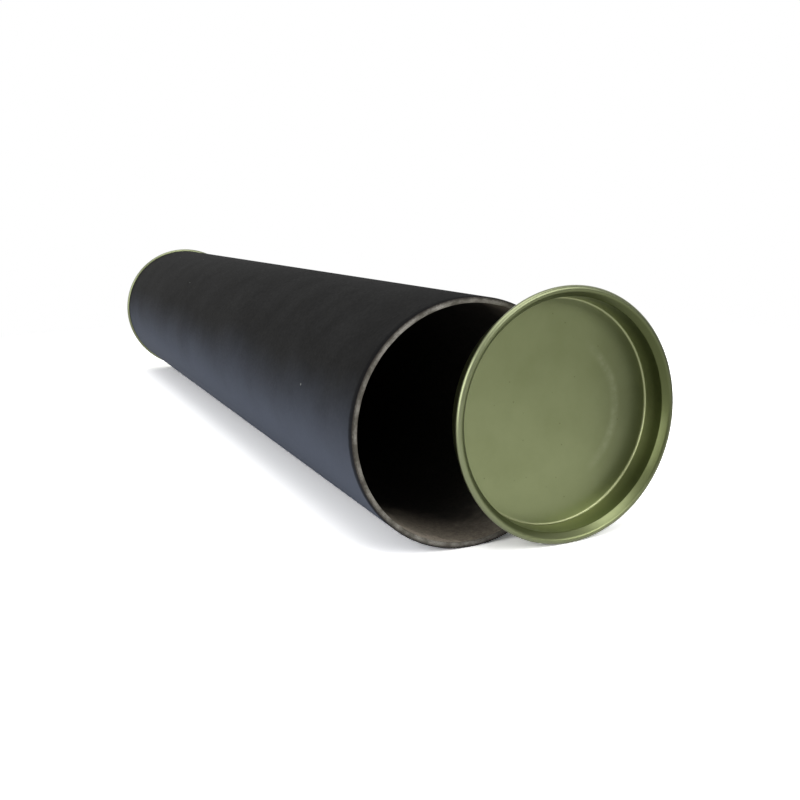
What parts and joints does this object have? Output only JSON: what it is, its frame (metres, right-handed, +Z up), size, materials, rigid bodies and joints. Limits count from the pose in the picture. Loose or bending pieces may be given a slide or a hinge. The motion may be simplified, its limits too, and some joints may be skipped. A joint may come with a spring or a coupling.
{
  "type": "cardboard mailing tube",
  "caption": "Round black cardboard mailing tube with recessed pressed-metal plug lids; the rear lid is fitted and slides out, the front lid leans beside the open mouth.",
  "frame": {"origin": "bottom centre of the box of the whole group, on the surface that it lies on", "axes": "+Z up; +Y along the tube from its open mouth to its closed end; +X to the right, where the loose front lid stands"},
  "size_m": [0.1128, 0.433, 0.0826],
  "materials": {
    "black_board": "matt black paper wrap on grey wound board, with a dark grey-brown liner inside",
    "gold_lacquer": "satin olive-gold lacquer on thin sheet metal"
  },
  "bodies": {
    "tube": {"tube": "black_board", "front_lid": "gold_lacquer"},
    "rear_lid": {"rear_lid": "gold_lacquer"}
  },
  "joints": [
    {"name": "rear_lid_pull", "type": "slide", "parent": "tube", "child": "rear_lid", "axis": [0, 1, 0.0029], "range_m": [0, 0.03]}
  ]
}
